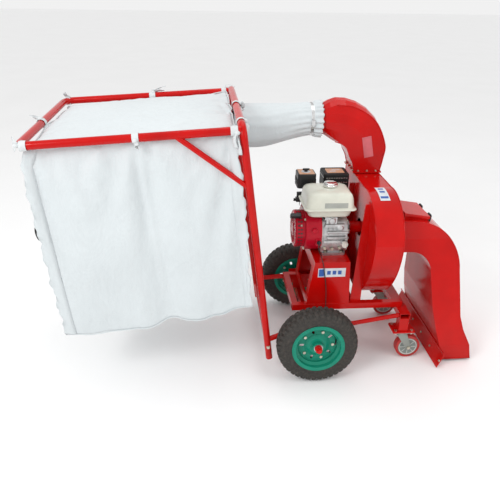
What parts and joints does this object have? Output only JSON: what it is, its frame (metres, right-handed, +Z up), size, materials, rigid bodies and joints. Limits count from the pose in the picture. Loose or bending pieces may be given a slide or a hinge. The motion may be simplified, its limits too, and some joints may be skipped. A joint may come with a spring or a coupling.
{
  "type": "leaf vacuum mulcher",
  "caption": "Wheeled petrol leaf vacuum with a ground intake nozzle, scroll blower, discharge elbow and a large cloth bag in a tube frame.",
  "frame": {"origin": "on the ground, under the centre of the machine's bounding box; Y = 0 is the crankshaft's plane and the middle of the chassis", "axes": "+X forward, towards the intake nozzle; +Y to the blower's outlet side; +Z up"},
  "size_m": [2.002, 0.8524, 1.237],
  "materials": {
    "red_paint": "gloss enamel",
    "engine_red": "gloss enamel",
    "tyre_rubber": "matt",
    "rim_teal": "gloss enamel",
    "zinc": "zinc plated",
    "bearing_steel": "ground",
    "caster_grey": "satin",
    "caster_core_plastic": "satin",
    "caster_tread": "satin",
    "engine_alloy": "cast",
    "engine_steel": "machined",
    "cast_iron": "cast",
    "tank_paint": "gloss enamel",
    "cap_chrome": "polished",
    "black_plastic": "satin",
    "white_plastic": "satin",
    "black_steel": "matt heat paint",
    "black_rubber": "matt",
    "foam": "open cell",
    "bag_cloth": "woven, matt",
    "clamp_steel": "bright",
    "cable_jacket": "satin"
  },
  "bodies": {
    "machine": {"chassis_frame": "red_paint", "axle_beam": "red_paint", "caster_brackets": "red_paint", "m8_bolts": "zinc", "wheel_bearings": "bearing_steel", "axle_nuts": "red_paint", "caster_plates": "caster_grey", "engine_pedestal": "red_paint", "scroll_housing": "red_paint", "housing_front_plate": "red_paint", "discharge_elbow": "red_paint", "intake_nozzle": "red_paint", "hatch_latches": "black_rubber", "skirt_strip": "red_paint", "skirt_screws": "zinc", "bag_hoop": "red_paint", "bag_rail": "red_paint", "bag_braces": "red_paint", "bag_frame_arms": "red_paint", "crankcase": "engine_alloy", "cylinder": "engine_alloy", "rocker_cover": "engine_alloy", "fan_shroud": "engine_red", "recoil_cover": "engine_red", "fuel_tank": "tank_paint", "air_cleaner_base": "black_plastic", "air_filter": "foam", "air_cleaner_cover": "black_plastic", "carburettor": "engine_alloy", "muffler": "black_steel", "spark_plug": "black_rubber", "bag": "bag_cloth", "sleeve": "bag_cloth", "hose_clamp": "clamp_steel", "stop_cable": "cable_jacket", "cable_clip": "black_plastic"},
    "right_wheel": {"right_tyre": "tyre_rubber", "right_rim": "rim_teal", "right_rim_bolts": "zinc"},
    "left_wheel": {"left_tyre": "tyre_rubber", "left_rim": "rim_teal", "left_rim_bolts": "zinc"},
    "right_caster": {"right_caster_fork": "caster_grey", "right_caster_axle": "zinc"},
    "left_caster": {"left_caster_fork": "caster_grey", "left_caster_axle": "zinc"},
    "right_caster_wheel": {"right_caster_core": "caster_core_plastic", "right_caster_tread": "caster_tread"},
    "left_caster_wheel": {"left_caster_core": "caster_core_plastic", "left_caster_tread": "caster_tread"},
    "rotor": {"crankshaft": "engine_steel", "flywheel": "cast_iron", "impeller": "red_paint"},
    "starter_handle": {"starter_handle": "black_plastic"},
    "fuel_cap": {"fuel_cap": "cap_chrome"},
    "oil_filler_cap": {"oil_filler_cap": "white_plastic"},
    "air_cleaner_knob": {"air_cleaner_knob": "black_plastic"},
    "throttle_lever": {"throttle_lever": "black_plastic"},
    "engine_switch": {"engine_switch": "black_plastic"},
    "hatch_lid": {"hatch_lid": "red_paint"}
  },
  "joints": [
    {"name": "right_wheel_spin", "type": "hinge", "parent": "machine", "child": "right_wheel", "pos_m": [0.194, -0.342, 0.19], "axis": [0, 1, 0], "continuous": true},
    {"name": "right_caster_swivel", "type": "hinge", "parent": "machine", "child": "right_caster", "pos_m": [0.649, -0.2, 0.15], "axis": [0, 0, 1], "continuous": true},
    {"name": "right_caster_spin", "type": "hinge", "parent": "right_caster", "child": "right_caster_wheel", "pos_m": [0.689, -0.2, 0.0625], "axis": [0, 1, 0], "continuous": true},
    {"name": "left_wheel_spin", "type": "hinge", "parent": "machine", "child": "left_wheel", "pos_m": [0.194, 0.342, 0.19], "axis": [0, 1, 0], "continuous": true},
    {"name": "left_caster_swivel", "type": "hinge", "parent": "machine", "child": "left_caster", "pos_m": [0.649, 0.2, 0.15], "axis": [0, 0, 1], "continuous": true},
    {"name": "left_caster_spin", "type": "hinge", "parent": "left_caster", "child": "left_caster_wheel", "pos_m": [0.689, 0.2, 0.0625], "axis": [0, 1, 0], "continuous": true},
    {"name": "rotor_spin", "type": "hinge", "parent": "machine", "child": "rotor", "pos_m": [0.194, 0, 0.63], "axis": [1, 0, 0], "continuous": true},
    {"name": "starter_pull", "type": "slide", "parent": "machine", "child": "starter_handle", "axis": [0, -0.5501, 0.8351], "range_m": [0, 0.5], "stiffness_N_per_m": 30},
    {"name": "fuel_cap_turn", "type": "hinge", "parent": "machine", "child": "fuel_cap", "pos_m": [0.274, -0.019, 0.86], "axis": [0, 0, 1], "range_deg": [0, 90]},
    {"name": "oil_cap_turn", "type": "hinge", "parent": "machine", "child": "oil_filler_cap", "pos_m": [0.344, -0.115, 0.59], "axis": [0, -1, 0], "range_deg": [0, 720]},
    {"name": "air_cleaner_knob_turn", "type": "hinge", "parent": "machine", "child": "air_cleaner_knob", "pos_m": [0.186, 0.14, 0.87], "axis": [0, 0, 1], "range_deg": [0, 720]},
    {"name": "throttle_turn", "type": "hinge", "parent": "machine", "child": "throttle_lever", "pos_m": [0.167, 0.084, 0.74], "axis": [0, 0, 1], "range_deg": [-5, 40]},
    {"name": "switch_turn", "type": "hinge", "parent": "machine", "child": "engine_switch", "pos_m": [0.22, -0.11, 0.6], "axis": [0, -1, 0], "range_deg": [0, 60]},
    {"name": "hatch_open", "type": "hinge", "parent": "machine", "child": "hatch_lid", "pos_m": [0.61616, 0, 0.72912], "axis": [0, -1, 0], "range_deg": [0, 100]}
  ]
}
